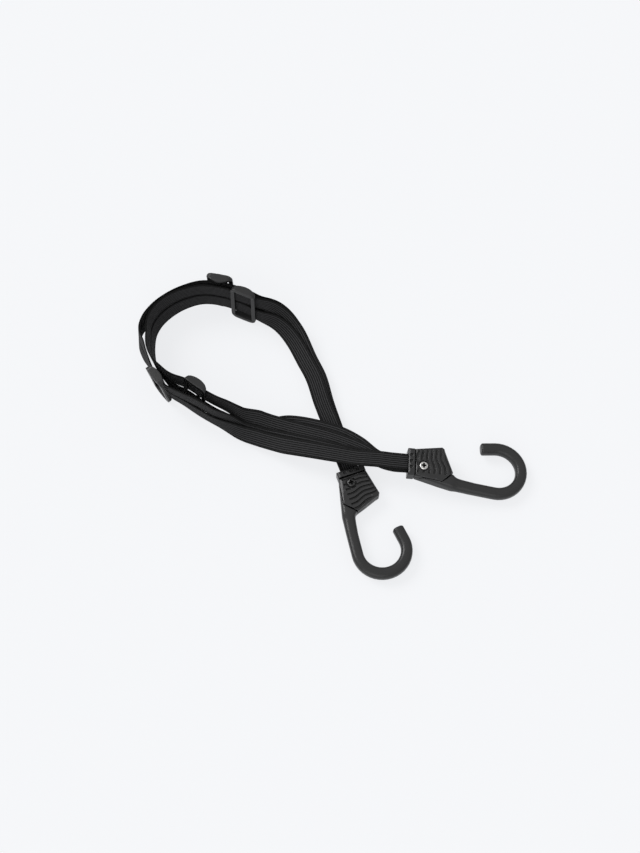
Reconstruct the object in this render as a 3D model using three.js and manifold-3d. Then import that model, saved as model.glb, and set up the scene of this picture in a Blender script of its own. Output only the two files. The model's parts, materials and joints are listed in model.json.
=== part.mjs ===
// Flat-strap bungee cord: four elastic straps in two pairs, four slide buckles and two screw-clamped hooks.
// Millimetres, +Z up. The cord lies on the ground as an open loop whose two ends cross.
import * as THREE from 'three';
import { mergeVertices } from 'three/addons/utils/BufferGeometryUtils.js';
import Module from 'manifold-3d';

const wasm = await Module();
wasm.setup();

// Driving dimensions: straps
const STRAP_WIDTH = 16.5;
const STRAP_THICKNESS = 1.5;
const LAYER_PITCH = 1.9;
const STRAP_STEPS = 92;

// Driving dimensions: hooks
const BODY_THICKNESS = 14;
const BODY_BEVEL = 3;
const MOUTH_HALF_WIDTH = 13.5;
const BODY_LENGTH = 33.5;
const BODY_FLARE = 4;
const BODY_DROP = 10;
const SHOULDER_RUN = 10;
const BAR_DIAMETER = 10.8;
const CURL_RADIUS = 22.7;
const CURL_REACH = 84.6;
const SHANK_ANGLE = -6.7;
const TIP_ANGLE = 186.2;
const TIP_LENGTH = 13.2;
const SHANK_START = 30;
const SHANK_FULL = 62;
const ROOT_SWELL = 1.16;
const ROOT_TAPER = 0.7;
const TIP_ROUND = 1.2;
const CURL_STEPS = 22;
const BAR_SIDES = 20;
const BAR_SQUARENESS = 3;
const CLAMP_DEPTH = 25;
const JAW_LENGTH = 6.4;
const JAW_TOOTH = 3;
const TOOTH_DEPTH = 1.5;
const TOOTH_START = 1.8;
const TOOTH_LENGTH = 2.8;
const JAW_BEVEL = 2.2;
const COVER_SPLIT = 1;
const COVER_RIM = 1.2;
const SHANK_MEET = 32;
const MEET_DROP = 5.6;
const SHOULDER_NOSE = 4;
const CORNER_CUT = 1.6;
const GRIP_GROOVES = 7;
const GROOVE_WIDTH = 2;
const GROOVE_DEPTH = 1.5;
const GROOVE_MARGIN = 2.2;
const GROOVE_WAVE = 0.8;
const GROOVE_WAVES = 1.5;
const GROOVE_STEPS = 18;
const GROOVE_FAN = 0.3;

// Driving dimensions: clamp screw and nut
const SCREW_X = 14.7;
const SCREW_Y = -4;
const SCREW_DIAMETER = 4;
const HEAD_DIAMETER = 8;
const HEAD_HEIGHT = 2.4;
const HEAD_RECESS = 10.4;
const RECESS_FLOOR = 1.8;
const CROSS_SLOT = 1.1;
const CROSS_SPAN = 4.4;
const CROSS_DEPTH = 1.3;
const NUT_ACROSS_FLATS = 7;
const NUT_HEIGHT = 2.2;

// Driving dimensions: slide buckles
const SLIDER_LENGTH = 26;
const SLIDER_BAR = 4.2;
const SLIDER_BAR_HEIGHT = 1.8;
const SLIDER_END = 3.6;
const SLIDER_SLACK = 3.6;
const SLIDER_LIFT = 0.6;
const SLIDER_SHIFT = 0.5;
const SLIDER_LAP = 1;
const SLIDER_ARCH = 1.4;
const SLIDER_BELLY = 1.5;
const SLIDER_CORNER = 5;
const CORNER_STEPS = 6;
const STRAP_PAIR_GAP = 1;

// Clearances
const FIT = 0.3;
const STRAP_FIT = 1.2;
const CHANNEL_FIT = 0.4;
const CUT_OVER = 1;
const CUT_FAR = 60;

// Where each hook lies: mouth centre, heading and pitch of the pull axis in degrees
const HOOK_A = { name: 'hook_a', mouth: [80.8, -45, 17], yaw: -3, pitch: -6.1 };
const HOOK_B = { name: 'hook_b', mouth: [27.7, -48, 7], yaw: -70.2, pitch: 0 };
const LEAD_IN = 14;

// Route of the bundle from hook A to hook B, chosen by eye. Each row gives the guide point, then for the
// inner and the outer pair its lean and the place of its lower and upper strap: across and out of the guide
const L1 = LAYER_PITCH / 2;
const L3 = LAYER_PITCH * 1.5;
const LOW = STRAP_WIDTH / 2 + FIT;
const HIGH = LOW + STRAP_WIDTH + STRAP_PAIR_GAP;
const ROUTE = [
  { at: [53, -42.5, 19.6], inner: [90, 3, -L3, 2, -L1], outer: [90, -0.5, L3, 0.5, L1] },
  { at: [34, -37.5, 19.4], inner: [90, 12, -L3, 7, -L1], outer: [90, -4, L3, -1, L1] },
  { at: [9, -29, 18.8], inner: [86, 16, -L3, 8.5, -L1], outer: [86, -7, L3, -3, L1] },
  { at: [-31, -19, 15.5], inner: [76, 15, -L3, 10.5, -L1], outer: [76, -7, L3, -2, L1] },
  { at: [-56, -16, 10], inner: [52, 7, -3.6, 18, -L1], outer: [52, 0.5, 3, 4, L1] },
  { at: [-76, -9.5, 5.5], inner: [30, 6, -4.4, 21, -2.2], outer: [30, 4.5, 3, 9, L1] },
  { at: [-95, 1, 6.2], inner: [13, LOW, -3, HIGH + 1.6, -3], outer: [2, LOW, 3.3, 21.5, 1.2] },
  { at: [-111, 11, 7.5], inner: [9, LOW, -3, HIGH + 1.6, -3], outer: [-2, LOW, 3.6, HIGH, 2.2] },
  { at: [-127, 23, 7], inner: [8, LOW, -3.3, HIGH + 1, -3.3], outer: [-6, LOW, 3.5, HIGH + 0.2, 3.3] },
  { at: [-141.5, 33, 6.6], inner: [2, LOW, -3.4, HIGH + 0.2, -3.4], outer: [-8, LOW, 3.1, HIGH + 0.2, 3.1] },
  { at: [-151, 45, 6.6], inner: [-4, LOW, -3, HIGH, -3], outer: [-7, LOW, 2.5, HIGH, 2.5] },
  { at: [-158.5, 57.5, 5.7], inner: [-8, LOW, -2.8, HIGH, -2.8], outer: [-3, LOW, 2.3, HIGH, 2.3] },
  { at: [-162.5, 72, 2.8], inner: [-10, LOW, -3.3, HIGH, -3.3], outer: [4, LOW, 7.8, HIGH, 7.8] },
  { at: [-163, 86, 1.5], inner: [-10, LOW, -2.6, HIGH, -2.6], outer: [4, LOW, 12.4, HIGH, 12.4] },
  { at: [-160.5, 99, 1.1], inner: [-12, LOW, -1.3, HIGH, -1.3], outer: [3, LOW, 12, HIGH, 12] },
  { at: [-155, 110.5, 1.1], inner: [-12, LOW, -1.1, HIGH, -1.1], outer: [-4, LOW, 6.5, HIGH, 6.5] },
  { at: [-146, 120.5, 1.4], inner: [-11, LOW, -1.1, HIGH, -1.1], outer: [-10, LOW, 1.6, HIGH, 1.6] },
  { at: [-133, 129.5, 2.4], inner: [-7, LOW, -1.5, HIGH, -1.5], outer: [-7, LOW, 1.5, HIGH, 1.5] },
  { at: [-116, 135.3, 4], inner: [-3, LOW, -2.3, HIGH, -2.3], outer: [-3, LOW, 2.3, HIGH, 2.3] },
  { at: [-97, 133.2, 6], inner: [-2, LOW, -2.8, HIGH, -2.8], outer: [-2, LOW, 2.7, HIGH, 2.7] },
  { at: [-75, 125.2, 5.8], inner: [-4, LOW, -2.8, HIGH, -2.8], outer: [-4, LOW, 2.8, HIGH, 2.8] },
  { at: [-58, 115.8, 4.8], inner: [-9, LOW, -3, HIGH + 0.4, -1.3], outer: [-9, LOW, 3, HIGH + 0.3, 1.3] },
  { at: [-43.5, 104.5, 5], inner: [-36, LOW, -3, 19, -1], outer: [-36, LOW, 3, 19, 1] },
  { at: [-29.5, 90, 5.2], inner: [-58, 5, -L3, 12, -L1], outer: [-58, 6, L3, 11, L1] },
  { at: [-14.5, 69, 6.3], inner: [-78, 0, -L3, 4, -L1], outer: [-78, 2, L3, 3, L1] },
  { at: [-5.5, 48, 7], inner: [-89, 0, -L3, 4, -L1], outer: [-89, 2, L3, 3, L1] },
  { at: [2.5, 21, 7], inner: [-90, 0, -L3, 3, -L1], outer: [-90, 1, L3, 2, L1] },
  { at: [11.5, -3, 7], inner: [-90, 0, -L3, 1.5, -L1], outer: [-90, 0.5, L3, 1, L1] },
];

// Where each slide buckle sits: its strap pair, the route row under its middle and its skew on the straps
const SLIDERS = [
  { name: 'slider_far_outer', pair: 'outer', row: 19, front: -1, skew: 0 },
  { name: 'slider_far_inner', pair: 'inner', row: 20.1, front: 1, skew: 3.8 },
  { name: 'slider_near_inner', pair: 'inner', row: 7.5, front: -1, skew: 0 },
  { name: 'slider_left_outer', pair: 'outer', row: 9.5, front: -1, skew: 0 },
];

const strapMaterial = new THREE.MeshStandardMaterial({ color: 0x1d1d1f, roughness: 0.9, metalness: 0 });
const hookMaterial = new THREE.MeshStandardMaterial({ color: 0x2a2b2d, roughness: 0.55, metalness: 0 });
const coverMaterial = new THREE.MeshStandardMaterial({ color: 0x2c2d2f, roughness: 0.5, metalness: 0 });
const jawMaterial = new THREE.MeshStandardMaterial({ color: 0x333436, roughness: 0.5, metalness: 0 });
const sliderMaterial = new THREE.MeshStandardMaterial({ color: 0x303133, roughness: 0.45, metalness: 0 });
const steelMaterial = new THREE.MeshStandardMaterial({ color: 0xb9bbbd, roughness: 0.3, metalness: 1 });
const darkSteelMaterial = new THREE.MeshStandardMaterial({ color: 0x6b6c6e, roughness: 0.4, metalness: 1 });

const radians = THREE.MathUtils.degToRad;

// Solids and booleans
function toSolid(geometry, matrix) {
  const bare = geometry.clone();
  if (matrix) bare.applyMatrix4(matrix);
  bare.deleteAttribute('normal');
  bare.deleteAttribute('uv');
  const merged = mergeVertices(bare, 1e-4);
  const mesh = new wasm.Mesh({
    numProp: 3,
    vertProperties: new Float32Array(merged.attributes.position.array),
    triVerts: new Uint32Array(merged.index.array),
  });
  return new wasm.Manifold(mesh);
}

function toGeometry(solid) {
  const mesh = solid.getMesh();
  const geometry = new THREE.BufferGeometry();
  geometry.setAttribute('position', new THREE.BufferAttribute(new Float32Array(mesh.vertProperties), 3));
  geometry.setIndex(new THREE.BufferAttribute(new Uint32Array(mesh.triVerts), 1));
  geometry.computeVertexNormals();
  return geometry;
}

function boxSolid(x0, x1, y0, y1, z0, z1) {
  const box = new THREE.BoxGeometry(x1 - x0, y1 - y0, z1 - z0);
  box.translate((x0 + x1) / 2, (y0 + y1) / 2, (z0 + z1) / 2);
  return toSolid(box);
}

function roundSolid(diameter, x, y, z0, z1, sides = 24) {
  const cylinder = new THREE.CylinderGeometry(diameter / 2, diameter / 2, z1 - z0, sides);
  cylinder.rotateX(Math.PI / 2);
  cylinder.translate(x, y, (z0 + z1) / 2);
  return toSolid(cylinder);
}

function slabSolid(points, z0, z1, bevel) {
  const shape = new THREE.Shape(points.map(([x, y]) => new THREE.Vector2(x, y)));
  const slab = new THREE.ExtrudeGeometry(shape, {
    depth: z1 - z0 - 2 * bevel,
    bevelEnabled: bevel > 0,
    bevelThickness: bevel,
    bevelSize: bevel,
    bevelOffset: -bevel,
    bevelSegments: 2,
    curveSegments: 8,
  });
  slab.translate(0, 0, z0 + bevel);
  return toSolid(slab);
}

// Hook in its own frame: x along the pull axis from the mouth, y towards the tip, z out of the screw side
const HALF = BODY_THICKNESS / 2;
const BUNDLE_HALF = 1.5 * LAYER_PITCH + STRAP_THICKNESS / 2;
const CHANNEL_HALF_HEIGHT = BUNDLE_HALF + CHANNEL_FIT;
const CHANNEL_HALF_WIDTH = STRAP_WIDTH / 2 + CHANNEL_FIT;

function armSolid() {
  const turn = (angle) => new THREE.Vector3(
    CURL_REACH + CURL_RADIUS * Math.sin(radians(angle)),
    -CURL_RADIUS * Math.cos(radians(angle)),
    0,
  );
  const curlStart = turn(SHANK_ANGLE);
  const shankSlope = Math.tan(radians(SHANK_ANGLE));
  const onShank = (x) => new THREE.Vector3(x, curlStart.y - (curlStart.x - x) * shankSlope, 0);
  const radius = BAR_DIAMETER / 2;
  const swollen = [ROOT_SWELL, (1 + ROOT_SWELL) / 2, 1];
  const roots = swollen.map((swell, i) => {
    const root = BODY_LENGTH + SHOULDER_RUN;
    const point = onShank(root + ((SHANK_FULL - root) * i) / 2);
    return point.setY(point.y + radius * (swell - 1));
  });
  const points = [new THREE.Vector3(SHANK_START, -MOUTH_HALF_WIDTH, 0), ...roots];
  for (let i = 0; i <= CURL_STEPS; i += 1) {
    points.push(turn(SHANK_ANGLE + ((TIP_ANGLE - SHANK_ANGLE) * i) / CURL_STEPS));
  }
  const heading = new THREE.Vector3(Math.cos(radians(TIP_ANGLE)), Math.sin(radians(TIP_ANGLE)), 0);
  const bend = points[points.length - 1];
  points.push(bend.clone().addScaledVector(heading, TIP_LENGTH - TIP_ROUND));
  points.push(bend.clone().addScaledVector(heading, TIP_LENGTH));
  const radii = points.map((point, i) => radius * (i === 0 ? ROOT_TAPER : swollen[i - 1] ?? 1));
  radii[radii.length - 1] = radius - TIP_ROUND;
  return sweepBar(points, radii, BAR_SIDES);
}

// Bar of rounded square section through points in the plane z = 0, with flat ends
function sweepBar(points, radii, sides) {
  const up = new THREE.Vector3(0, 0, 1);
  const rings = points.map((point, i) => {
    const before = points[Math.max(0, i - 1)];
    const after = points[Math.min(points.length - 1, i + 1)];
    const along = after.clone().sub(before).normalize();
    const across = new THREE.Vector3().crossVectors(up, along);
    const ring = [];
    for (let k = 0; k < sides; k += 1) {
      const angle = (2 * Math.PI * k) / sides;
      const cosine = Math.cos(angle);
      const sine = Math.sin(angle);
      const power = Math.abs(cosine) ** BAR_SQUARENESS + Math.abs(sine) ** BAR_SQUARENESS;
      const reach = radii[i] * power ** (-1 / BAR_SQUARENESS);
      ring.push(point.clone().addScaledVector(across, reach * cosine).addScaledVector(up, reach * sine));
    }
    return ring;
  });
  return toSolid(loft(rings));
}

// Closed body through rings of points, each ring turning the same way about the direction of travel
function loft(rings) {
  const sides = rings[0].length;
  const positions = rings.flat().flatMap((p) => [p.x, p.y, p.z]);
  const index = [];
  for (let i = 0; i + 1 < rings.length; i += 1) {
    for (let k = 0; k < sides; k += 1) {
      const a = i * sides + k;
      const b = i * sides + ((k + 1) % sides);
      index.push(a, b, a + sides, b, b + sides, a + sides);
    }
  }
  const last = (rings.length - 1) * sides;
  for (let k = 1; k + 1 < sides; k += 1) {
    index.push(0, k + 1, k);
    index.push(last, last + k, last + k + 1);
  }
  const geometry = new THREE.BufferGeometry();
  geometry.setAttribute('position', new THREE.BufferAttribute(new Float32Array(positions), 3));
  geometry.setIndex(index);
  return geometry;
}

// Outline of the clamp seen from the screw side: straight mouth, flared sides and a slanted shoulder
function clampOutline() {
  const mouthX = JAW_LENGTH + FIT;
  const top = MOUTH_HALF_WIDTH + BODY_FLARE;
  const shoulderX = BODY_LENGTH + SHOULDER_RUN;
  return [
    [mouthX, -MOUTH_HALF_WIDTH],
    [shoulderX, -MOUTH_HALF_WIDTH - BODY_DROP],
    [shoulderX + SHOULDER_NOSE, -MOUTH_HALF_WIDTH],
    [shoulderX, -MOUTH_HALF_WIDTH + SHOULDER_NOSE],
    [BODY_LENGTH + CORNER_CUT, top - 3 * CORNER_CUT],
    [BODY_LENGTH + CORNER_CUT / 2, top - CORNER_CUT],
    [BODY_LENGTH - CORNER_CUT, top],
    [mouthX, MOUTH_HALF_WIDTH],
  ];
}

// Room over the parting line, where the cover lies; the body keeps a full-height rim on its shank side
function coverRoom(gap) {
  const low = -MOUTH_HALF_WIDTH + COVER_RIM - gap;
  const points = [
    [-CUT_OVER, low], [SHANK_MEET, low - MEET_DROP], [BODY_LENGTH + SHOULDER_RUN, low + MEET_DROP],
    [CUT_FAR, low + MEET_DROP], [CUT_FAR, CUT_FAR], [-CUT_OVER, CUT_FAR],
  ];
  return slabSolid(points, COVER_SPLIT + FIT - gap, HALF + CUT_OVER, 0);
}

function channelSolid() {
  return boxSolid(-CUT_OVER, CLAMP_DEPTH, -CHANNEL_HALF_WIDTH, CHANNEL_HALF_WIDTH,
    -CHANNEL_HALF_HEIGHT, CHANNEL_HALF_HEIGHT);
}

function hexSolid(acrossFlats, z0, z1) {
  const cornerDiameter = acrossFlats / Math.cos(Math.PI / 6);
  return roundSolid(cornerDiameter, SCREW_X, SCREW_Y, z0, z1, 6);
}

function hookBody() {
  const screwHole = roundSolid(SCREW_DIAMETER + 2 * FIT, SCREW_X, SCREW_Y, -HALF - CUT_OVER, HALF + CUT_OVER);
  const nutPocket = hexSolid(NUT_ACROSS_FLATS + 2 * FIT, -HALF - CUT_OVER, -HALF + NUT_HEIGHT + 2 * FIT);
  return slabSolid(clampOutline(), -HALF, HALF, BODY_BEVEL)
    .add(armSolid())
    .subtract(coverRoom(FIT))
    .subtract(channelSolid())
    .subtract(screwHole)
    .subtract(nutPocket);
}

// Wavy grip groove across the cover, open at its flared side
function grooveSolid(x, fan) {
  const top = MOUTH_HALF_WIDTH + BODY_FLARE + CUT_OVER;
  const low = -MOUTH_HALF_WIDTH + GROOVE_MARGIN;
  const near = [];
  const far = [];
  for (let k = 0; k <= GROOVE_STEPS; k += 1) {
    const part = k / GROOVE_STEPS;
    const wave = GROOVE_WAVE * Math.sin(2 * Math.PI * GROOVE_WAVES * part);
    const y = top + (low - top) * part;
    const edge = x + wave + fan * (top - y);
    near.push([edge, y]);
    far.unshift([edge + GROOVE_WIDTH, y]);
  }
  return slabSolid([...near, ...far], HALF - GROOVE_DEPTH, HALF + CUT_OVER, 0);
}

function hookCover() {
  const screwHole = roundSolid(SCREW_DIAMETER + 2 * FIT, SCREW_X, SCREW_Y, -HALF - CUT_OVER, HALF + CUT_OVER);
  const headRecess = roundSolid(HEAD_RECESS, SCREW_X, SCREW_Y, HALF - RECESS_FLOOR, HALF + CUT_OVER);
  const block = slabSolid(clampOutline(), -HALF, HALF, BODY_BEVEL);
  let cover = block.intersect(coverRoom(0)).subtract(channelSolid());
  for (let i = 0; i < GRIP_GROOVES; i += 1) {
    const x = JAW_LENGTH + GROOVE_WIDTH + ((BODY_LENGTH - JAW_LENGTH) * i) / GRIP_GROOVES;
    cover = cover.subtract(grooveSolid(x, (GROOVE_FAN * i) / GRIP_GROOVES));
  }
  return cover.subtract(screwHole).subtract(headRecess);
}

function hookJaw() {
  const outline = [
    [0, -MOUTH_HALF_WIDTH], [BODY_LENGTH, -MOUTH_HALF_WIDTH],
    [BODY_LENGTH, MOUTH_HALF_WIDTH], [0, MOUTH_HALF_WIDTH],
  ];
  const beyond = boxSolid(JAW_LENGTH, CUT_FAR, -CUT_FAR, CUT_FAR, -CUT_FAR, CUT_FAR);
  let jaw = slabSolid(outline, -HALF, HALF, JAW_BEVEL).subtract(beyond).subtract(channelSolid());
  for (let i = -1; i <= 1; i += 1) {
    const y = i * 2 * JAW_TOOTH;
    for (const side of [-1, 1]) {
      const z = side * HALF;
      const notch = boxSolid(TOOTH_START, TOOTH_START + TOOTH_LENGTH, y - JAW_TOOTH / 2, y + JAW_TOOTH / 2,
        z - TOOTH_DEPTH, z + TOOTH_DEPTH);
      jaw = jaw.subtract(notch);
    }
  }
  return jaw;
}

function clampScrew() {
  const headLow = HALF - RECESS_FLOOR + FIT;
  const head = roundSolid(HEAD_DIAMETER, SCREW_X, SCREW_Y, headLow, headLow + HEAD_HEIGHT);
  const shaft = roundSolid(SCREW_DIAMETER, SCREW_X, SCREW_Y, -HALF + FIT, headLow + CUT_OVER, 16);
  const top = headLow + HEAD_HEIGHT;
  const slot = (w, h) => boxSolid(SCREW_X - w / 2, SCREW_X + w / 2, SCREW_Y - h / 2, SCREW_Y + h / 2,
    top - CROSS_DEPTH, top + CUT_OVER);
  return head.add(shaft).subtract(slot(CROSS_SLOT, CROSS_SPAN)).subtract(slot(CROSS_SPAN, CROSS_SLOT));
}

function clampNut() {
  const bore = roundSolid(SCREW_DIAMETER + 2 * FIT, SCREW_X, SCREW_Y, -HALF - CUT_OVER, HALF, 16);
  return hexSolid(NUT_ACROSS_FLATS, -HALF + FIT, -HALF + FIT + NUT_HEIGHT).subtract(bore);
}

function hookMatrix(hook) {
  const turn = new THREE.Euler(0, -radians(hook.pitch), radians(hook.yaw), 'ZYX');
  return new THREE.Matrix4().makeRotationFromEuler(turn).setPosition(...hook.mouth);
}

function buildHook(hook, screwMaterial) {
  const group = new THREE.Group();
  const add = (piece, solid, material) => {
    const mesh = new THREE.Mesh(toGeometry(solid), material);
    mesh.name = `${hook.name}_${piece}`;
    group.add(mesh);
  };
  add('body', hookBody(), hookMaterial);
  add('cover', hookCover(), coverMaterial);
  add('jaw', hookJaw(), jawMaterial);
  add('screw', clampScrew(), screwMaterial);
  add('nut', clampNut(), steelMaterial);
  group.applyMatrix4(hookMatrix(hook));
  return group;
}

// Straps: the guide runs out of hook A, round the loop and into hook B
function hookRow(hook, distance, lean) {
  const at = new THREE.Vector3(distance, 0, 0).applyMatrix4(hookMatrix(hook));
  return { at: at.toArray(), inner: [lean, 0, -L3, 0, -L1], outer: [lean, 0, L3, 0, L1] };
}

const ROWS = [
  hookRow(HOOK_A, CLAMP_DEPTH - 1, 90), hookRow(HOOK_A, 0, 90), hookRow(HOOK_A, -LEAD_IN, 90),
  ...ROUTE,
  hookRow(HOOK_B, -LEAD_IN, -90), hookRow(HOOK_B, 0, -90), hookRow(HOOK_B, CLAMP_DEPTH - 1, -90),
];
const FIRST_ROUTE_ROW = 3;
const LAST_ROW = ROWS.length - 1;

const guidePoints = ROWS.map((row) => new THREE.Vector3(...row.at));
const guide = new THREE.CatmullRomCurve3(guidePoints, false, 'centripetal');

// Value of one column of the rows at a place along them, eased with the same smooth curve as the guide
function column(read, place) {
  const i = Math.min(LAST_ROW - 1, Math.floor(place));
  const t = place - i;
  const p = [i - 1, i, i + 1, i + 2].map((k) => read(ROWS[THREE.MathUtils.clamp(k, 0, LAST_ROW)]));
  const m1 = (p[2] - p[0]) / 2;
  const m2 = (p[3] - p[1]) / 2;
  const h = t * t * (3 - 2 * t);
  return p[1] * (1 - h) + p[2] * h + m1 * t * (1 - t) * (1 - t) - m2 * t * t * (1 - t);
}

// Frame of a strap pair: along the route, across the width and out of the loop
function pairFrame(pair, place) {
  const u = place / LAST_ROW;
  const along = guide.getTangent(u);
  const outward = new THREE.Vector3(0, 0, 1).cross(along).normalize();
  const upward = along.clone().cross(outward).normalize();
  const lean = radians(column((row) => row[pair][0], place));
  const across = upward.clone().multiplyScalar(Math.cos(lean)).addScaledVector(outward, -Math.sin(lean));
  const out = outward.clone().multiplyScalar(Math.cos(lean)).addScaledVector(upward, Math.sin(lean));
  return { at: guide.getPoint(u), along, across, out };
}

function strapCentre(pair, strap, place) {
  const frame = pairFrame(pair, place);
  const a = column((row) => row[pair][1 + 2 * strap], place);
  const n = column((row) => row[pair][2 + 2 * strap], place);
  return { ...frame, at: frame.at.clone().addScaledVector(frame.across, a).addScaledVector(frame.out, n) };
}

function buildStrap(name, pair, strap) {
  const rings = [];
  for (let i = 0; i <= STRAP_STEPS; i += 1) {
    const { at, across, out } = strapCentre(pair, strap, (LAST_ROW * i) / STRAP_STEPS);
    const corner = (a, n) => at.clone()
      .addScaledVector(across, (a * STRAP_WIDTH) / 2)
      .addScaledVector(out, (n * STRAP_THICKNESS) / 2);
    rings.push([corner(1, 1), corner(1, -1), corner(-1, -1), corner(-1, 1)]);
  }
  let solid = toSolid(loft(rings));
  for (const hook of [HOOK_A, HOOK_B]) {
    const holeRadius = SCREW_DIAMETER / 2 + FIT;
    const hole = new THREE.CylinderGeometry(holeRadius, holeRadius, BODY_THICKNESS, 16);
    hole.rotateX(Math.PI / 2);
    hole.translate(SCREW_X, SCREW_Y, 0);
    solid = solid.subtract(toSolid(hole, hookMatrix(hook)));
  }
  const mesh = new THREE.Mesh(toGeometry(solid), strapMaterial);
  mesh.name = name;
  return mesh;
}

// Slide buckle in its own frame: x along the straps, y across the pair, z out of its front
function sliderSolid() {
  const windowHalf = STRAP_WIDTH + STRAP_PAIR_GAP / 2 + SLIDER_SLACK / 2;
  const outerHalf = windowHalf + SLIDER_END;
  const near = STRAP_THICKNESS / 2 + STRAP_FIT;
  const far = near + SLIDER_BAR_HEIGHT;
  const end = SLIDER_LENGTH / 2;
  const barHalf = outerHalf - SLIDER_LAP;
  const sideBar = (x) => boxSolid(x, x + SLIDER_BAR, -barHalf, barHalf, near, far);
  let solid = sideBar(-end).add(sideBar(end - SLIDER_BAR));
  solid = solid.add(boxSolid(-SLIDER_BAR / 2, SLIDER_BAR / 2, -barHalf, barHalf, -far, -near));
  for (const side of [-1, 1]) {
    const arch = new THREE.Shape();
    arch.moveTo(-end, far);
    arch.lineTo(-end, near - SLIDER_LAP);
    arch.bezierCurveTo(-end / 2, -far * SLIDER_BELLY, end / 2, -far * SLIDER_BELLY, end, near - SLIDER_LAP);
    arch.lineTo(end, far);
    arch.quadraticCurveTo(0, far + SLIDER_ARCH, -end, far);
    const shape = { depth: SLIDER_END, bevelEnabled: false, curveSegments: 10 };
    const bar = new THREE.ExtrudeGeometry(arch, shape);
    bar.rotateX(Math.PI / 2);
    bar.translate(0, side > 0 ? outerHalf : -windowHalf, 0);
    solid = solid.add(toSolid(bar));
  }
  const outline = roundedOutline(end, outerHalf, SLIDER_CORNER);
  return solid.intersect(slabSolid(outline, -CUT_FAR, CUT_FAR, 0));
}

function roundedOutline(halfX, halfY, corner) {
  const points = [];
  for (const [sx, sy, start] of [[1, 1, 0], [-1, 1, 90], [-1, -1, 180], [1, -1, 270]]) {
    for (let k = 0; k <= CORNER_STEPS; k += 1) {
      const angle = radians(start + (90 * k) / CORNER_STEPS);
      const x = sx * (halfX - corner) + corner * Math.cos(angle);
      const y = sy * (halfY - corner) + corner * Math.sin(angle);
      points.push([x, y]);
    }
  }
  return points;
}

function buildSlider({ name, pair, row, front, skew }) {
  const place = row + FIRST_ROUTE_ROW;
  const lower = strapCentre(pair, 0, place);
  const upper = strapCentre(pair, 1, place);
  const across = upper.at.clone().sub(lower.at).normalize();
  const along = lower.along.clone().multiplyScalar(front);
  const out = along.clone().cross(across).normalize();
  const basis = new THREE.Matrix4().makeBasis(across.clone().cross(out), across, out);
  const turn = new THREE.Matrix4().makeRotationZ(radians(skew));
  const mesh = new THREE.Mesh(toGeometry(sliderSolid()), sliderMaterial);
  mesh.name = name;
  const middle = lower.at.clone().add(upper.at).multiplyScalar(0.5)
    .addScaledVector(across, SLIDER_LIFT)
    .addScaledVector(out, SLIDER_SHIFT);
  mesh.applyMatrix4(basis.setPosition(middle).multiply(turn));
  return mesh;
}

const bungee = new THREE.Group();
bungee.add(buildStrap('inner_strap_lower', 'inner', 0));
bungee.add(buildStrap('inner_strap_upper', 'inner', 1));
bungee.add(buildStrap('outer_strap_lower', 'outer', 0));
bungee.add(buildStrap('outer_strap_upper', 'outer', 1));
SLIDERS.forEach((slider) => bungee.add(buildSlider(slider)));
bungee.add(buildHook(HOOK_A, steelMaterial));
bungee.add(buildHook(HOOK_B, darkSteelMaterial));

// Origin: the middle of the footprint, on the ground
bungee.updateMatrixWorld(true);
const box = new THREE.Box3().setFromObject(bungee, true);
bungee.position.set(-(box.min.x + box.max.x) / 2, -(box.min.y + box.max.y) / 2, -box.min.z);
bungee.updateMatrixWorld(true);

export default bungee;
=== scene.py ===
"""Looks for the flat-strap bungee cord: ribbed elastic straps, moulded hooks and slide buckles.
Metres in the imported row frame. The strap route repeats the part's own rows, in millimetres."""
import json
import math

import bmesh
import bpy
from mathutils import Matrix, Vector


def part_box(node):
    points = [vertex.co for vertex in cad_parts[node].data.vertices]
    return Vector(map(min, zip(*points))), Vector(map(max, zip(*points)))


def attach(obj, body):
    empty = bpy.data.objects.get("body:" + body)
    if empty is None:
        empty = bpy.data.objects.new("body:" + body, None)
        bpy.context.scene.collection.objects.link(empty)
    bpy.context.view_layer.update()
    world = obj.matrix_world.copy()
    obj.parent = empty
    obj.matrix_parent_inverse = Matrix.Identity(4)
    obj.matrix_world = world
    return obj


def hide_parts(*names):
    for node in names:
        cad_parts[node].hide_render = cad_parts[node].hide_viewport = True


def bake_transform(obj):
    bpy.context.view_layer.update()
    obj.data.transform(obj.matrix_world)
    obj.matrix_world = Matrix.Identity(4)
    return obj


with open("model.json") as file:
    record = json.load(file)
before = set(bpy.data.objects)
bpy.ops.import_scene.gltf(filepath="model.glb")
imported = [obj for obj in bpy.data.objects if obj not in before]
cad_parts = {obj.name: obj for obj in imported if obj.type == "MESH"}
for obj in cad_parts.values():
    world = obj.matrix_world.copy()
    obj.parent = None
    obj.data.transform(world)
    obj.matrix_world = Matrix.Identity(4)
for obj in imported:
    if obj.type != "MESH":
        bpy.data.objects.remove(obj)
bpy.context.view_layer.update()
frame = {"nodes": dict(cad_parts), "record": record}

MM = 0.001

# Straps
STRAP_WIDTH = 16.5
STRAP_THICKNESS = 1.5
LAYER_PITCH = 1.9
STRAP_PAIR_GAP = 1.0
STRAP_FIT = 0.3
STRAP_RIBS = 8
RIB_DEPTH = 0.3
RIB_SAMPLES = 6
EDGE_ROUND = 1.3
EDGE_LEFT = 0.12
STRAP_RINGS = 430
GUIDE_STEP = 1e-4

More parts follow.
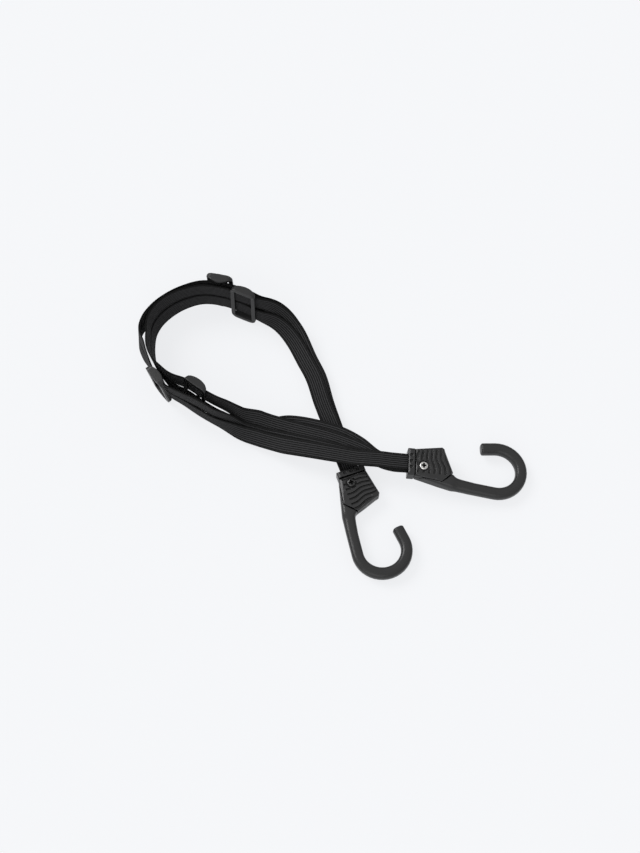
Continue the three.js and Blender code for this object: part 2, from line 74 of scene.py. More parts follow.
# Hooks, as in the part
JAW_LENGTH = 6.4
CLAMP_DEPTH = 25.0
STRAP_END = CLAMP_DEPTH - 1
LEAD_IN = 14.0
BODY_HALF = 7.0
SCREW_AT = (14.7, -4.0)
HEAD_BASE = BODY_HALF - 1.5
HEAD_HEIGHT = 2.4
HEAD_RADIUS = 4.0
SHAFT_RADIUS = 1.95
CROSS_ARM = 1.7
CROSS_SPAN = 5.8
CROSS_DEPTH = 1.6
CROSS_TAPER = 0.6
SCREW_SIDES = 40
SHAFT_END = -BODY_HALF + 0.3
SHAFT_TIP = 0.7
THREAD_START = 0.4
THREAD_PITCH = 0.7
THREAD_ROOT = 0.82
THREAD_RUNOUT = 0.8
NECK = 0.9
HEAD_UNDERCUT = 0.96
HEAD_CHAMFER = 0.3
HEAD_RIM = 0.9
HEAD_DOME = HEAD_HEIGHT - 0.95
HEAD_STEPS = 6
HEAD_SQUARENESS = 0.35
SHARP_ANGLE = 35
HOOK_A = {"name": "hook_a", "mouth": (80.8, -45.0, 17.0), "yaw": -3.0, "pitch": -6.1}
HOOK_B = {"name": "hook_b", "mouth": (27.7, -48.0, 7.0), "yaw": -70.2, "pitch": 0.0}
SHANK_ROOT = (45.0, -15.0, 0.0)
FILLET_REACH = 16.0
FILLET_PASSES = 220

# Remeshing of the moulded pieces: voxel in millimetres and smoothing passes
BODY_MOULD = (0.42, 3)
COVER_MOULD = (0.28, 2)
JAW_MOULD = (0.25, 3)
SLIDER_MOULD = (0.35, 6)
WELD_DISTANCE = 2e-6
SMOOTH_FACTOR = 0.5
KEPT_FACES = 0.45

# Route rows from hook A to hook B: guide point, then for the inner and the outer pair its lean in degrees
# and where the lower and the upper strap lie, across and out. L1 and L3 are the layers of a stacked bundle,
# LOW and HIGH the two straps of a pair side by side.
L1 = LAYER_PITCH / 2
L3 = LAYER_PITCH * 1.5
LOW = STRAP_WIDTH / 2 + STRAP_FIT
HIGH = LOW + STRAP_WIDTH + STRAP_PAIR_GAP
ROUTE = [
    ((53, -42.5, 19.6), (90, 3, -L3, 2, -L1), (90, -0.5, L3, 0.5, L1)),
    ((34, -37.5, 19.4), (90, 12, -L3, 7, -L1), (90, -4, L3, -1, L1)),
    ((9, -29, 18.8), (86, 16, -L3, 8.5, -L1), (86, -7, L3, -3, L1)),
    ((-31, -19, 15.5), (76, 15, -L3, 10.5, -L1), (76, -7, L3, -2, L1)),
    ((-56, -16, 10), (52, 7, -3.6, 18, -L1), (52, 0.5, 3, 4, L1)),
    ((-76, -9.5, 5.5), (30, 6, -4.4, 21, -2.2), (30, 4.5, 3, 9, L1)),
    ((-95, 1, 6.2), (13, LOW, -3, HIGH + 1.6, -3), (2, LOW, 3.3, 21.5, 1.2)),
    ((-111, 11, 7.5), (9, LOW, -3, HIGH + 1.6, -3), (-2, LOW, 3.6, HIGH, 2.2)),
    ((-127, 23, 7), (8, LOW, -3.3, HIGH + 1, -3.3), (-6, LOW, 3.5, HIGH + 0.2, 3.3)),
    ((-141.5, 33, 6.6), (2, LOW, -3.4, HIGH + 0.2, -3.4), (-8, LOW, 3.1, HIGH + 0.2, 3.1)),
    ((-151, 45, 6.6), (-4, LOW, -3, HIGH, -3), (-7, LOW, 2.5, HIGH, 2.5)),
    ((-158.5, 57.5, 5.7), (-8, LOW, -2.8, HIGH, -2.8), (-3, LOW, 2.3, HIGH, 2.3)),
    ((-162.5, 72, 2.8), (-10, LOW, -3.3, HIGH, -3.3), (4, LOW, 7.8, HIGH, 7.8)),
    ((-163, 86, 1.5), (-10, LOW, -2.6, HIGH, -2.6), (4, LOW, 12.4, HIGH, 12.4)),
    ((-160.5, 99, 1.1), (-12, LOW, -1.3, HIGH, -1.3), (3, LOW, 12, HIGH, 12)),
    ((-155, 110.5, 1.1), (-12, LOW, -1.1, HIGH, -1.1), (-4, LOW, 6.5, HIGH, 6.5)),
    ((-146, 120.5, 1.4), (-11, LOW, -1.1, HIGH, -1.1), (-10, LOW, 1.6, HIGH, 1.6)),
    ((-133, 129.5, 2.4), (-7, LOW, -1.5, HIGH, -1.5), (-7, LOW, 1.5, HIGH, 1.5)),
    ((-116, 135.3, 4), (-3, LOW, -2.3, HIGH, -2.3), (-3, LOW, 2.3, HIGH, 2.3)),
    ((-97, 133.2, 6), (-2, LOW, -2.8, HIGH, -2.8), (-2, LOW, 2.7, HIGH, 2.7)),
    ((-75, 125.2, 5.8), (-4, LOW, -2.8, HIGH, -2.8), (-4, LOW, 2.8, HIGH, 2.8)),
    ((-58, 115.8, 4.8), (-9, LOW, -3, HIGH + 0.4, -1.3), (-9, LOW, 3, HIGH + 0.3, 1.3)),
    ((-43.5, 104.5, 5), (-36, LOW, -3, 19, -1), (-36, LOW, 3, 19, 1)),
    ((-29.5, 90, 5.2), (-58, 5, -L3, 12, -L1), (-58, 6, L3, 11, L1)),
    ((-14.5, 69, 6.3), (-78, 0, -L3, 4, -L1), (-78, 2, L3, 3, L1)),
    ((-5.5, 48, 7), (-89, 0, -L3, 4, -L1), (-89, 2, L3, 3, L1)),
    ((2.5, 21, 7), (-90, 0, -L3, 3, -L1), (-90, 1, L3, 2, L1)),
    ((11.5, -3, 7), (-90, 0, -L3, 1.5, -L1), (-90, 0.5, L3, 1, L1)),
]
FIRST_ROUTE_ROW = 3
# Route row where each pair's two halves meet, inside a slide buckle
MEET_ROW = {"inner": 20.1, "outer": 9.5}


def hook_matrix(hook):
    """Placement of a hook on the route, in millimetres."""
    yaw = Matrix.Rotation(math.radians(hook["yaw"]), 4, "Z")
    pitch = Matrix.Rotation(-math.radians(hook["pitch"]), 4, "Y")
    return Matrix.Translation(hook["mouth"]) @ (yaw @ pitch)


def row_shift():
    """Offset from the route to the row frame, in millimetres, read off the symmetric jaw of hook B."""
    low, high = (Vector(corner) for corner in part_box("hook_b_jaw"))
    return (low + high) / (2 * MM) - hook_matrix(HOOK_B) @ Vector((JAW_LENGTH / 2, 0, 0))


SHIFT = row_shift()


def to_row(point):
    """Point of the route, in metres of the row frame."""
    return (Vector(point) + SHIFT) * MM


# Camera at the photograph's viewing angle
CAMERA_ELEVATION = math.radians(64)
CAMERA_DISTANCE = 1.5
CAMERA_AIM = (0, 1.0, 0.5)
CAMERA_SENSOR = 36
CAMERA_LENS = 66.64
camera_data = bpy.data.cameras.new("camera")
camera_data.sensor_fit = "VERTICAL"
camera_data.sensor_height = CAMERA_SENSOR
camera_data.lens = CAMERA_LENS
camera = bpy.data.objects.new("camera", camera_data)
bpy.context.collection.objects.link(camera)
camera.location = to_row(CAMERA_AIM) + CAMERA_DISTANCE * Vector(
    (0, -math.cos(CAMERA_ELEVATION), math.sin(CAMERA_ELEVATION)))
camera.rotation_euler = (math.pi / 2 - CAMERA_ELEVATION, 0, 0)
bpy.context.scene.camera = camera


# Strap route
def hook_row(hook, distance, lean):
    """Row inside or just outside a clamp, where the four straps lie stacked."""
    at = hook_matrix(hook) @ Vector((distance, 0, 0))
    return (tuple(at), (lean, 0, -L3, 0, -L1), (lean, 0, L3, 0, L1))


ROWS = (
    [hook_row(HOOK_A, d, 90) for d in (STRAP_END, 0, -LEAD_IN)]
    + ROUTE
    + [hook_row(HOOK_B, d, -90) for d in (-LEAD_IN, 0, STRAP_END)]
)
LAST_ROW = len(ROWS) - 1
PAIR_COLUMN = {"inner": 1, "outer": 2}


def guide_point(place):
    """Point of the centripetal curve through the rows."""
    i = min(LAST_ROW - 1, max(0, int(math.floor(place))))
    t = place - i
    at = [Vector(row[0]) for row in ROWS]
    p1, p2 = at[i], at[i + 1]
    p0 = at[i - 1] if i > 0 else 2 * p1 - p2
    p3 = at[i + 2] if i + 2 <= LAST_ROW else 2 * p2 - p1
    d0, d1, d2 = (math.sqrt((b - a).length) for a, b in ((p0, p1), (p1, p2), (p2, p3)))
    m1 = ((p1 - p0) / d0 - (p2 - p0) / (d0 + d1) + (p2 - p1) / d1) * d1
    m2 = ((p2 - p1) / d1 - (p3 - p1) / (d1 + d2) + (p3 - p2) / d2) * d1
    return p1 + m1 * t + (3 * (p2 - p1) - 2 * m1 - m2) * t * t + (2 * (p1 - p2) + m1 + m2) * t ** 3


def column(pair, k, place):
    """Value of one column of the rows at a place, on the even cubic through its neighbours."""
    i = min(LAST_ROW - 1, int(math.floor(place)))
    t = place - i
    p = [ROWS[min(LAST_ROW, max(0, j))][PAIR_COLUMN[pair]][k] for j in (i - 1, i, i + 1, i + 2)]
    m1, m2 = (p[2] - p[0]) / 2, (p[3] - p[1]) / 2
    h = t * t * (3 - 2 * t)
    return p[1] * (1 - h) + p[2] * h + m1 * t * (1 - t) ** 2 - m2 * t * t * (1 - t)


def strap_frame(pair, strap, place):
    """Centre of a strap at a place along the rows, with its width and thickness directions."""
    step = LAST_ROW * GUIDE_STEP
    ahead, behind = min(LAST_ROW, place + step), max(0, place - step)
    along = (guide_point(ahead) - guide_point(behind)).normalized()
    outward = Vector((0, 0, 1)).cross(along).normalized()
    upward = along.cross(outward).normalized()
    lean = math.radians(column(pair, 0, place))
    across = upward * math.cos(lean) - outward * math.sin(lean)
    out = outward * math.cos(lean) + upward * math.sin(lean)
    centre = (guide_point(place) + across * column(pair, 1 + 2 * strap, place)
              + out * column(pair, 2 + 2 * strap, place))
    return centre, across, out


def rib_profile():
    """Outline of the ribbed strap: (across, out) in millimetres, once round the section."""
    half = STRAP_WIDTH / 2
    count = STRAP_RIBS * RIB_SAMPLES
    face = []
    for k in range(count + 1):
        y = -half + STRAP_WIDTH * k / count
        rib = RIB_DEPTH * (0.5 + 0.5 * math.cos(2 * math.pi * k / RIB_SAMPLES))
        inset = max(0.0, abs(y) - half + EDGE_ROUND) / EDGE_ROUND
        height = (STRAP_THICKNESS / 2 - rib * (1 - inset)) * math.sqrt(max(EDGE_LEFT, 1 - inset ** 2))
        face.append((y, height))
    return face + [(y, -h) for y, h in reversed(face)]


PROFILE = rib_profile()


def new_object(name, mesh, material):
    piece = bpy.data.objects.new(name, mesh)
    bpy.context.collection.objects.link(piece)
    mesh.materials.clear()
    mesh.materials.append(material)
    return piece


def strap_half(name, rings, normals, distances, material):
    """One run of strap from its rings, with the normals of the whole strap so that halves meet unseen."""
    count = len(PROFILE)
    verts = [p for ring in rings for p in ring]
    faces = []
    for low in range(0, (len(rings) - 1) * count, count):
        high = low + count
        faces += [(low + k, low + (k + 1) % count, high + (k + 1) % count, high + k) for k in range(count)]
    mesh = bpy.data.meshes.new(name)
    mesh.from_pydata(verts, [], faces)
    mesh.shade_smooth()
    uv = mesh.uv_layers.new(name="weave")
    for loop in mesh.loops:
        ring, point = divmod(loop.vertex_index, count)
        uv.data[loop.index].uv = (distances[ring], PROFILE[point][0] * MM)
    mesh.normals_split_custom_set_from_vertices([n for ring in normals for n in ring])
    return new_object(name, mesh, material)


def build_strap(node, pair, strap, material):
    """Both halves of a strap, as long as they are drawn, split where its pair meets inside a slide buckle."""
    places = [LAST_ROW * i / STRAP_RINGS for i in range(STRAP_RINGS + 1)]
    frames = [strap_frame(pair, strap, place) for place in places]
    rings = [[to_row(c + across * y + out * n) for y, n in PROFILE] for c, across, out in frames]
    centres = [to_row(c) for c, _, _ in frames]
    distances = [0.0]
    for a, b in zip(centres, centres[1:]):
        distances.append(distances[-1] + (b - a).length)
    count = len(PROFILE)
    normals = []
    for i in range(len(rings)):
        before, after = rings[max(0, i - 1)], rings[min(len(rings) - 1, i + 1)]
        ring = rings[i]
        normals.append([((ring[(k + 1) % count] - ring[k - 1]).cross(after[k] - before[k])).normalized()
                        for k in range(count)])
    meet = round((MEET_ROW[pair] + FIRST_ROUTE_ROW) / LAST_ROW * STRAP_RINGS)
    for hook, span in ((HOOK_A, slice(0, meet + 1)), (HOOK_B, slice(meet, None))):
        end = hook["name"]
        half = strap_half(f"{node}_{end}", rings[span], normals[span], distances[span], material)
        pull = (hook_matrix(hook).to_3x3() @ Vector((1, 0, 0))).normalized()
        pull.z = 0
        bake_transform(half)
        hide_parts(node)


# Materials: lengths in metres, scales per metre
RAMP_FROM, RAMP_TO = 0.3, 0.7
PICK_PERIOD = 0.0012
COURSE_PERIOD = 0.0007
# Width along each strap edge that painted shade darkens
EDGE_SHADE_WIDTH = 0.0019
WEAVE_COLOUR = (0.014, 0.014, 0.015)
# Weave tone ends: the dark end also paints shade in furrows and at edges, the light end a highlight on rib
# crowns
WEAVE_DARK = (0.0008, 0.0008, 0.0009)
WEAVE_LIGHT = (0.039, 0.039, 0.041)
WEAVE_ROUGHNESS = 0.8
WEAVE_SPECULAR = 0.2
SHEEN_WEIGHT = 0.06
SHEEN_ROUGHNESS = 0.4
FIBRE_STRETCH = (1.0, 7.0, 1.0)
FIBRE_SCALE, FIBRE_DETAIL = 300, 5
# Share of the tone given to the painted highlight on rib crowns and the painted shade in their furrows
RIB_PAINTED_SHADE_SHARE = 0.5
KNIT_SHARE = 0.5
WEAVE_BUMP, WEAVE_RELIEF = 0.4, 0.0002
PLASTIC_SPECULAR = 0.3
CLOUD_SCALE, CLOUD_DETAIL = 90, 3
# Pointiness over which convex edges get a painted highlight
EDGE_HIGHLIGHT_FROM, EDGE_HIGHLIGHT_TO = 0.51, 0.58
# Pointiness over which grooves and seams get painted shade
HOLLOW_FROM, HOLLOW_TO = 0.455, 0.498
# Facing over which flanks turned away from the camera get painted shade
TURNED_FROM, TURNED_TO = 0.15, 0.55
# Shares of a plastic's colour left by painted shade in its grooves and seams, and where it turns away from
# the eye
HOLLOW_SHADE = 0.08
TURNED_SHADE = 0.08
GLOSS_SPREAD = 0.07
GRAIN_DETAIL = 2
GRAIN_BUMP, GRAIN_RELIEF = 0.12, 0.0002
PATCH_SCALE, PATCH_DETAIL = 700, 3
# Painted shade for the screw's driver recess
RECESS_SHADE_COLOUR = (0.01, 0.01, 0.01)
SCRATCH_SCALE = 3000
SCRATCH_BUMP, SCRATCH_RELIEF = 0.08, 0.0001


def shader(name, colour, roughness, metallic=0.0, specular=0.5):
    material = bpy.data.materials.new(name)
    material.use_nodes = True
    principled = material.node_tree.nodes["Principled BSDF"]
    principled.inputs["Base Color"].default_value = (*colour, 1)
    principled.inputs["Roughness"].default_value = roughness
    principled.inputs["Metallic"].default_value = metallic
    principled.inputs["Specular IOR Level"].default_value = specular
    return material, material.node_tree, principled


def noise(tree, scale, detail, vector):
    node = tree.nodes.new("ShaderNodeTexNoise")
    node.inputs["Scale"].default_value = scale
    node.inputs["Detail"].default_value = detail
    tree.links.new(vector, node.inputs["Vector"])
    return node.outputs["Fac"]


def ramp(tree, value, low, high):
    """Middle range of a value spread between two colours."""
    node = tree.nodes.new("ShaderNodeValToRGB")
    node.color_ramp.elements[0].position = RAMP_FROM
    node.color_ramp.elements[1].position = RAMP_TO
    node.color_ramp.elements[0].color = (*low, 1)
    node.color_ramp.elements[1].color = (*high, 1)
    tree.links.new(value, node.inputs["Fac"])
    return node.outputs["Color"]


def bump(tree, principled, height, strength, distance):
    node = tree.nodes.new("ShaderNodeBump")
    node.inputs["Strength"].default_value = strength
    node.inputs["Distance"].default_value = distance
    tree.links.new(height, node.inputs["Height"])
    tree.links.new(node.outputs["Normal"], principled.inputs["Normal"])


def math_node(tree, operation, a, b):
    node = tree.nodes.new("ShaderNodeMath")
    node.operation = operation
    for socket, value in zip(node.inputs, (a, b)):
        if isinstance(value, (int, float)):
            socket.default_value = value
        else:
            tree.links.new(value, socket)
    return node.outputs[0]


def map_range(tree, value, source, target):
    """Value carried from one range of numbers to another and clamped there."""
    node = tree.nodes.new("ShaderNodeMapRange")
    node.inputs["From Min"].default_value, node.inputs["From Max"].default_value = source
    node.inputs["To Min"].default_value, node.inputs["To Max"].default_value = target
    tree.links.new(value, node.inputs["Value"])
    return node.outputs["Result"]


def wave(tree, value, period):
    """Sine of a length along one direction of the weave."""
    return math_node(tree, "SINE", math_node(tree, "MULTIPLY", value, 2 * math.pi / period), 0)


def elastic_material():
    """Knitted elastic: painted highlight on rib crowns, painted shade in furrows and edges, cross picks along
    the strap, fine fibres.
    """
    material, tree, principled = shader(
        "strap_elastic", WEAVE_COLOUR, WEAVE_ROUGHNESS, specular=WEAVE_SPECULAR)
    principled.inputs["Sheen Weight"].default_value = SHEEN_WEIGHT
    principled.inputs["Sheen Roughness"].default_value = SHEEN_ROUGHNESS
    coordinates = tree.nodes.new("ShaderNodeUVMap")
    coordinates.uv_map = "weave"
    split = tree.nodes.new("ShaderNodeSeparateXYZ")
    tree.links.new(coordinates.outputs["UV"], split.inputs["Vector"])
    rib = STRAP_WIDTH * MM / STRAP_RIBS
    edge = math_node(tree, "ADD", split.outputs["Y"], STRAP_WIDTH * MM / 2 - rib / 4)
    # Painted highlight on the rib crowns and painted shade in the furrows between them
    rib_highlight_and_shade = math_node(tree, "MULTIPLY", math_node(tree, "ADD", wave(tree, edge, rib), 1), 0.5)
    stretch = tree.nodes.new("ShaderNodeVectorMath")
    stretch.operation = "MULTIPLY"
    stretch.inputs[1].default_value = FIBRE_STRETCH
    tree.links.new(coordinates.outputs["UV"], stretch.inputs[0])
    fibres = noise(tree, FIBRE_SCALE, FIBRE_DETAIL, stretch.outputs["Vector"])
    tone = math_node(tree, "ADD", math_node(tree, "MULTIPLY", rib_highlight_and_shade, RIB_PAINTED_SHADE_SHARE),
                     math_node(tree, "MULTIPLY", fibres, 1 - RIB_PAINTED_SHADE_SHARE))
    off_centre = math_node(tree, "ABSOLUTE", split.outputs["Y"], 0)
    half = STRAP_WIDTH * MM / 2
    # Painted shade along both strap edges, where the straps lie against each other
    tone = math_node(tree, "MULTIPLY", tone, map_range(tree, off_centre, (half - EDGE_SHADE_WIDTH, half), (1.0, 0.0)))
    tree.links.new(ramp(tree, tone, WEAVE_DARK, WEAVE_LIGHT), principled.inputs["Base Color"])
    picks = wave(tree, split.outputs["X"], PICK_PERIOD)
    courses = wave(tree, split.outputs["Y"], COURSE_PERIOD)
    knit = math_node(tree, "MULTIPLY", picks, courses)
    height = math_node(tree, "ADD", math_node(tree, "MULTIPLY", knit, KNIT_SHARE), fibres)
    bump(tree, principled, height, WEAVE_BUMP, WEAVE_RELIEF)
    return material


def plastic_material(name, dark, edge_highlight, roughness, grain):
    """Moulded plastic: fine grain, uneven gloss, painted highlight on edges, painted shade in grooves and
    turned flanks.
    """
    material, tree, principled = shader(name, dark, roughness, specular=PLASTIC_SPECULAR)
    place = tree.nodes.new("ShaderNodeTexCoord").outputs["Object"]
    cloud = noise(tree, CLOUD_SCALE, CLOUD_DETAIL, place)
    pointiness = tree.nodes.new("ShaderNodeNewGeometry").outputs["Pointiness"]
    # Painted highlight on convex edges, broken up by the cloud
    edge = map_range(tree, pointiness, (EDGE_HIGHLIGHT_FROM, EDGE_HIGHLIGHT_TO), (0.0, 1.0))
    colour = tree.nodes.new("ShaderNodeMix")
    colour.data_type = "RGBA"
    colour.inputs["A"].default_value = (*dark, 1)
    colour.inputs["B"].default_value = (*edge_highlight, 1)
    tree.links.new(math_node(tree, "MULTIPLY", edge, cloud), colour.inputs["Factor"])
    # Painted shade in grooves and seams, where the surface is hollow
    hollow_shade = map_range(tree, pointiness, (HOLLOW_FROM, HOLLOW_TO), (HOLLOW_SHADE, 1.0))
    # Painted shade on flanks turned away from the camera
    facing = tree.nodes.new("ShaderNodeLayerWeight").outputs["Facing"]
    flank_shade = map_range(tree, facing, (TURNED_FROM, TURNED_TO), (1.0, TURNED_SHADE))
    shaded = tree.nodes.new("ShaderNodeVectorMath")
    shaded.operation = "SCALE"
    tree.links.new(colour.outputs["Result"], shaded.inputs[0])
    tree.links.new(math_node(tree, "MULTIPLY", flank_shade, hollow_shade), shaded.inputs["Scale"])
    tree.links.new(shaded.outputs["Vector"], principled.inputs["Base Color"])
    gloss = map_range(tree, cloud, (0.0, 1.0), (roughness - GLOSS_SPREAD, roughness + GLOSS_SPREAD))
    tree.links.new(gloss, principled.inputs["Roughness"])
    bump(tree, principled, noise(tree, grain, GRAIN_DETAIL, place), GRAIN_BUMP, GRAIN_RELIEF)
    return material


def steel_material(name, colour, dull, roughness):
    """Plated steel with dull patches, and painted shade where the mesh marks the driver recess."""
    material, tree, principled = shader(name, colour, roughness, metallic=1.0)
    place = tree.nodes.new("ShaderNodeTexCoord").outputs["Object"]
    patches = noise(tree, PATCH_SCALE, PATCH_DETAIL, place)
    # Painted shade in the driver recess, from the faces marked in the mesh
    recess_shade = tree.nodes.new("ShaderNodeAttribute")
    recess_shade.attribute_name = "recess_shade"
    tone = tree.nodes.new("ShaderNodeMix")
    tone.data_type = "RGBA"
    tone.inputs["B"].default_value = (*RECESS_SHADE_COLOUR, 1)
    tree.links.new(recess_shade.outputs["Fac"], tone.inputs["Factor"])
    tree.links.new(ramp(tree, patches, dull, colour), tone.inputs["A"])
    tree.links.new(tone.outputs["Result"], principled.inputs["Base Color"])
    bump(tree, principled, noise(tree, SCRATCH_SCALE, GRAIN_DETAIL, place), SCRATCH_BUMP, SCRATCH_RELIEF)
    return material


ELASTIC = elastic_material()
HOOK_PLASTIC = plastic_material(
    "hook_plastic", dark=(0.031, 0.031, 0.0316), edge_highlight=(0.085, 0.085, 0.087), roughness=0.30, grain=2600)
CLAMP_PLASTIC = plastic_material(
    "clamp_plastic", dark=(0.032, 0.032, 0.0327), edge_highlight=(0.120, 0.120, 0.122), roughness=0.29, grain=2600)
SLIDER_PLASTIC = plastic_material(
    "slider_plastic", dark=(0.032, 0.032, 0.0326), edge_highlight=(0.090, 0.090, 0.092), roughness=0.32, grain=3000)
BRIGHT_STEEL = steel_material(
    "screw_steel", colour=(0.93, 0.92, 0.90), dull=(0.78, 0.77, 0.75), roughness=0.32)
BLACK_STEEL = steel_material(
    "screw_black", colour=(0.10, 0.10, 0.10), dull=(0.05, 0.05, 0.05), roughness=0.35)


# Moulded pieces: the part's solids with the soft edges of a moulding
def applied(piece):
    """Replaces a piece's mesh by what its modifiers make of it."""
    graph = bpy.context.evaluated_depsgraph_get()
    mesh = bpy.data.meshes.new_from_object(piece.evaluated_get(graph))
    piece.modifiers.clear()
    piece.data = mesh
    return mesh


def near_weights(piece, centre, reach):
    """Vertex group at full weight round a point, fading out at a reach from it."""
    group = piece.vertex_groups.new(name="fillet")
    for v in piece.data.vertices:
        weight = 1 - (v.co - centre).length / reach
        if weight > 0:
            group.add([v.index], min(1, 2 * weight), "REPLACE")
    return group


def soften(piece, passes, group=None):
    """Adds smoothing passes, held to a vertex group if one is given."""
    smooth = piece.modifiers.new("soften", "SMOOTH")
    smooth.factor = SMOOTH_FACTOR
    smooth.iterations = passes
    if group:
        smooth.vertex_group = group.name


def moulded(node, mould, material, fillet=None):
    """The part's solid with the soft edges of a moulding, and a wider fillet round one place if asked."""
    voxel, passes = mould
    mesh = frame["nodes"][node].data.copy()
    shape = bmesh.new()
    shape.from_mesh(mesh)
    bmesh.ops.remove_doubles(shape, verts=shape.verts, dist=WELD_DISTANCE)
    shape.to_mesh(mesh)
    shape.free()
    piece = new_object(f"{node}_moulded", mesh, material)
    remesh = piece.modifiers.new("remesh", "REMESH")
    remesh.mode = "VOXEL"
    remesh.voxel_size = voxel * MM
    applied(piece)
    if fillet:
        soften(piece, FILLET_PASSES, near_weights(piece, fillet, FILLET_REACH * MM))
    soften(piece, passes)
    thin = piece.modifiers.new("thin", "DECIMATE")
    thin.ratio = KEPT_FACES
    mesh = applied(piece)
    mesh.shade_smooth()
    mesh.materials.clear()
    mesh.materials.append(material)
    bodies = frame["record"]["behaviour"]["bodies"]
    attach(piece, next(body for body, nodes in bodies.items() if node in nodes))
    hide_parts(node)


def cross_outline():
    """Corners of the driver recess, once round."""
    arm, span = CROSS_ARM / 2, CROSS_SPAN / 2
    quarter = [(span, -arm), (span, arm), (arm, arm)]
    points = []
    for turn in range(4):
        for x, y in quarter:
            for _ in range(turn):
                x, y = -y, x
            points.append((x, y))
    return points


def clamp_screw(hook, material):
    """Pan-head screw with a domed head, a cross recess and a threaded shaft."""
    top = HEAD_BASE + HEAD_HEIGHT
    profile = [(SHAFT_RADIUS * SHAFT_TIP, SHAFT_END)]
    z = SHAFT_END + THREAD_START
    while z < HEAD_BASE - THREAD_RUNOUT:
        profile += [(SHAFT_RADIUS, z), (SHAFT_RADIUS * THREAD_ROOT, z + THREAD_PITCH / 2)]
        z += THREAD_PITCH
    profile += [(SHAFT_RADIUS * NECK, HEAD_BASE), (HEAD_RADIUS * HEAD_UNDERCUT, HEAD_BASE),
                (HEAD_RADIUS, HEAD_BASE + HEAD_CHAMFER)]
    for k in range(HEAD_STEPS):
        angle = math.pi / 2 * k / HEAD_STEPS
        profile.append((HEAD_RADIUS * math.cos(angle) ** HEAD_SQUARENESS,
                        HEAD_BASE + HEAD_RIM + HEAD_DOME * math.sin(angle)))
    shape = bmesh.new()
    turns = [2 * math.pi * k / SCREW_SIDES for k in range(SCREW_SIDES)]
    rings = [[shape.verts.new((r * math.cos(t), r * math.sin(t), z)) for t in turns] for r, z in profile]
    for low, high in zip(rings, rings[1:]):
        for k in range(SCREW_SIDES):
            shape.faces.new((low[k - 1], low[k], high[k], high[k - 1]))
    shape.faces.new(rings[0])
    # Faces of the driver recess, marked for painted shade
    recess_shade = shape.faces.layers.float.new("recess_shade")
    rim = [shape.verts.new((x, y, top)) for x, y in cross_outline()]
    pit = [shape.verts.new((x * CROSS_TAPER, y * CROSS_TAPER, top - CROSS_DEPTH)) for x, y in cross_outline()]
    recess = [shape.faces.new((rim[k - 1], rim[k], pit[k], pit[k - 1])) for k in range(len(rim))]
    recess.append(shape.faces.new(pit))
    for face in recess:
        face[recess_shade] = 1.0
    border = [shape.edges.get((loop[k - 1], loop[k])) for loop in (rings[-1], rim) for k in range(len(loop))]
    bmesh.ops.triangle_fill(shape, use_beauty=True, edges=border)
    bmesh.ops.recalc_face_normals(shape, faces=shape.faces)
    mesh = bpy.data.meshes.new("screw")
    shape.to_mesh(mesh)
    shape.free()
    mesh.shade_smooth()
    mesh.set_sharp_from_angle(angle=math.radians(SHARP_ANGLE))
    to_hook = Matrix.Translation(SHIFT) @ hook_matrix(hook) @ Matrix.Translation((*SCREW_AT, 0))
    mesh.transform(Matrix.Scale(MM, 4) @ to_hook)
    screw = new_object(f"{hook['name']}_pan_screw", mesh, material)
    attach(screw, hook["name"])
    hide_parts(f"{hook['name']}_screw")


for pair in ("inner", "outer"):
    for index, level in enumerate(("lower", "upper")):
        build_strap(f"{pair}_strap_{level}", pair, index, ELASTIC)

for hook, steel, slot in ((HOOK_A, BRIGHT_STEEL, "screw_steel"), (HOOK_B, BLACK_STEEL, "screw_black")):
    name = hook["name"]
    root = to_row(hook_matrix(hook) @ Vector(SHANK_ROOT))
    moulded(f"{name}_body", BODY_MOULD, HOOK_PLASTIC, fillet=root)
    moulded(f"{name}_cover", COVER_MOULD, CLAMP_PLASTIC)
    moulded(f"{name}_jaw", JAW_MOULD, CLAMP_PLASTIC)
    clamp_screw(hook, steel)
    nut = frame["nodes"][f"{name}_nut"]
    nut.data.materials.clear()
    nut.data.materials.append(BRIGHT_STEEL)

for node in ("slider_far_outer", "slider_far_inner", "slider_near_inner", "slider_left_outer"):
    moulded(node, SLIDER_MOULD, SLIDER_PLASTIC)

# Stage: pale floor that keeps a faint shadow, even studio light, a soft key and a softer fill
FLOOR_HALF = 300.0
FLOOR_COLOUR = (0.925, 0.935, 0.955)
FLOOR_ROUGHNESS = 0.9
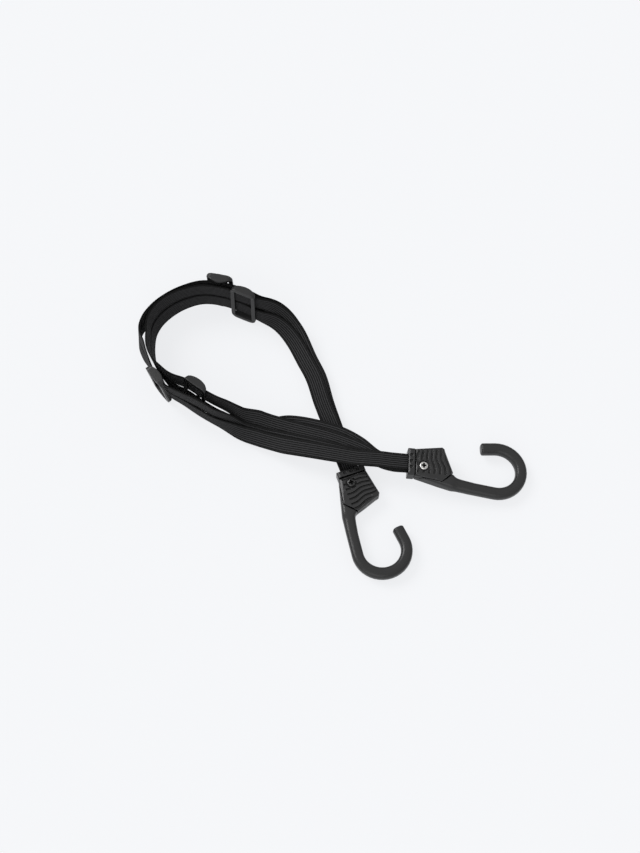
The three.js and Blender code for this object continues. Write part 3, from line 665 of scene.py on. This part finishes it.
# Share of the floor's own colour in what the camera and reflections see of it; the rest is lit and shaded
FLOOR_SHOWN = 0.84
WORLD_STRENGTH = 0.5
corners = [(x * FLOOR_HALF, y * FLOOR_HALF, 0) for x, y in ((-1, -1), (1, -1), (1, 1), (-1, 1))]
floor_mesh = bpy.data.meshes.new("floor")
floor_mesh.from_pydata(corners, [], [(0, 1, 2, 3)])
floor_material, tree, lit = shader("floor", FLOOR_COLOUR, FLOOR_ROUGHNESS, specular=0.0)
shown = tree.nodes.new("ShaderNodeEmission")
shown.inputs["Color"].default_value = (*FLOOR_COLOUR, 1)
rays = tree.nodes.new("ShaderNodeLightPath")
seen = math_node(tree, "MAXIMUM", rays.outputs["Is Glossy Ray"], rays.outputs["Is Transmission Ray"])
seen = math_node(tree, "MAXIMUM", rays.outputs["Is Camera Ray"], seen)
mix = tree.nodes.new("ShaderNodeMixShader")
tree.links.new(math_node(tree, "MULTIPLY", seen, FLOOR_SHOWN), mix.inputs["Fac"])
tree.links.new(lit.outputs["BSDF"], mix.inputs[1])
tree.links.new(shown.outputs["Emission"], mix.inputs[2])
tree.links.new(mix.outputs["Shader"], tree.nodes["Material Output"].inputs["Surface"])
floor = new_object("floor", floor_mesh, floor_material)

world = bpy.data.worlds.new("studio")
bpy.context.scene.world = world
world.use_nodes = True
sky = world.node_tree.nodes["Background"]
sky.inputs["Color"].default_value = (1, 1, 1, 1)
sky.inputs["Strength"].default_value = WORLD_STRENGTH


def sun(name, towards, energy, angle):
    """Distant lamp that shines towards a direction, with its angle in degrees for soft shadows."""
    data = bpy.data.lights.new(name, "SUN")
    data.energy = energy
    data.angle = math.radians(angle)
    lamp = bpy.data.objects.new(name, data)
    bpy.context.collection.objects.link(lamp)
    lamp.rotation_euler = Vector(towards).to_track_quat("-Z", "Y").to_euler()


sun("key", towards=(0.62, -0.42, -0.66), energy=1.6, angle=30)
sun("fill", towards=(0.3, 0.75, -0.6), energy=0.7, angle=60)

bpy.context.scene.view_settings.view_transform = "Standard"
